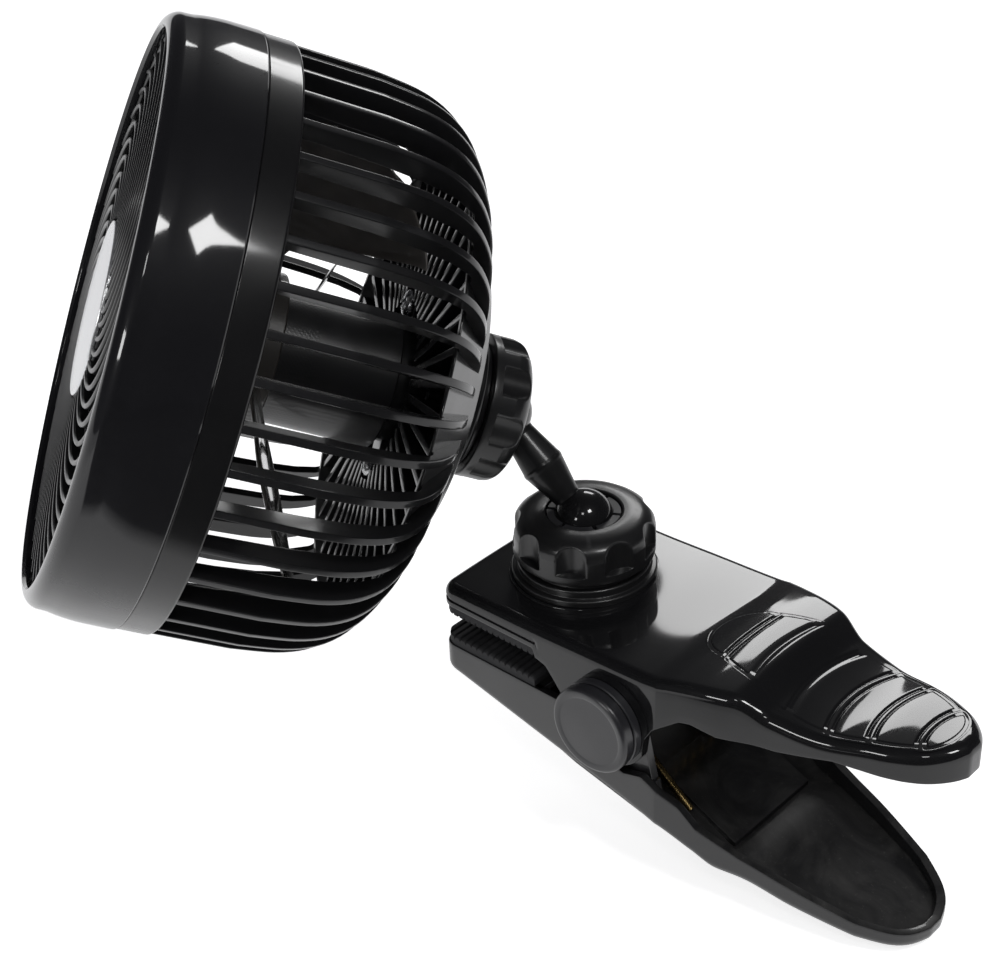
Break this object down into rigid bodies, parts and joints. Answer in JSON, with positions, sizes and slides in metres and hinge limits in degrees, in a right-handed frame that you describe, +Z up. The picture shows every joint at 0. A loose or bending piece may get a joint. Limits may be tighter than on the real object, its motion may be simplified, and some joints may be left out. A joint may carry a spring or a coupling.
{
  "type": "clip fan",
  "caption": "Round caged fan head on a short double ball arm, over a wide sprung jaw clamp that grips a shelf or dashboard edge.",
  "frame": {"origin": "on the gripping face of the clamp's upper pad, straight below the centre of the base swivel socket", "axes": "+X across the clamp along its pivot pin, +Y from the clamp's nose to its thumb end, +Z up, away from the gripped board"},
  "size_m": [0.1792, 0.2798, 0.2263],
  "materials": {
    "gloss_black": "glossy",
    "satin_black": "satin",
    "grey_plastic": "satin",
    "pad_rubber": "matte",
    "silver_disc": "satin",
    "steel": "brushed",
    "spring_wire": "zinc passivated",
    "bronze": "sintered",
    "rotor": "wound"
  },
  "bodies": {
    "clamp": {"upper_jaw": "gloss_black", "upper_pad": "pad_rubber", "base_socket": "satin_black", "socket_screws": "steel", "pivot_pin": "steel", "pivot_cap_left": "gloss_black", "pivot_cap_right": "gloss_black", "torsion_spring": "spring_wire"},
    "lower_clamp": {"lower_jaw": "gloss_black", "lower_pad": "pad_rubber"},
    "base_nut": {"base_ring_nut": "satin_black"},
    "base_seat": {"base_ball_seat": "grey_plastic"},
    "arm": {"link_arm": "satin_black"},
    "head_seat": {"head_ball_seat": "grey_plastic"},
    "head": {"front_bezel": "gloss_black", "front_grille": "satin_black", "centre_badge": "silver_disc", "rear_cage": "satin_black", "motor_pod": "satin_black", "pod_screws": "steel", "motor_can": "steel", "motor_end_cap": "grey_plastic", "front_bush": "bronze", "rear_bush": "bronze"},
    "head_nut": {"head_ring_nut": "satin_black"},
    "fan": {"fan_blade": "gloss_black", "motor_shaft": "steel", "rotor_core": "rotor"}
  },
  "joints": [
    {"name": "jaw_pivot", "type": "hinge", "parent": "clamp", "child": "lower_clamp", "pos_m": [0, 0.0331, -0.0085], "axis": [1, 0, 0], "range_deg": [-6, 24], "stiffness_Nm_per_rad": 3, "deforming": ["torsion_spring"]},
    {"name": "base_nut_turn", "type": "hinge", "parent": "clamp", "child": "base_nut", "pos_m": [0, 0, 0.027], "axis": [0, 0, 1], "range_deg": [0, 90]},
    {"name": "base_swivel", "type": "hinge", "parent": "clamp", "child": "base_seat", "pos_m": [0, 0, 0.027], "axis": [0, 0, 1], "range_deg": [-75, 55]},
    {"name": "arm_tilt", "type": "hinge", "parent": "base_seat", "child": "arm", "pos_m": [0, 0, 0.027], "axis": [0.9732, 0.23, 0], "range_deg": [-42, 1.5]},
    {"name": "head_tilt", "type": "hinge", "parent": "arm", "child": "head_seat", "pos_m": [0.00582, -0.02462, 0.05509], "axis": [0.6266, 0.7793, 0], "range_deg": [-50, 1]},
    {"name": "head_roll", "type": "hinge", "parent": "head_seat", "child": "head", "pos_m": [0.00582, -0.02462, 0.05509], "axis": [0.7216, -0.5802, 0.3778], "range_deg": [-90, 90]},
    {"name": "head_nut_turn", "type": "hinge", "parent": "head", "child": "head_nut", "pos_m": [0.00582, -0.02462, 0.05509], "axis": [-0.7216, 0.5802, -0.3778], "range_deg": [0, 90]},
    {"name": "fan_spin", "type": "hinge", "parent": "head", "child": "fan", "pos_m": [0.00582, -0.02462, 0.05509], "axis": [0.7216, -0.5802, 0.3778], "continuous": true}
  ]
}
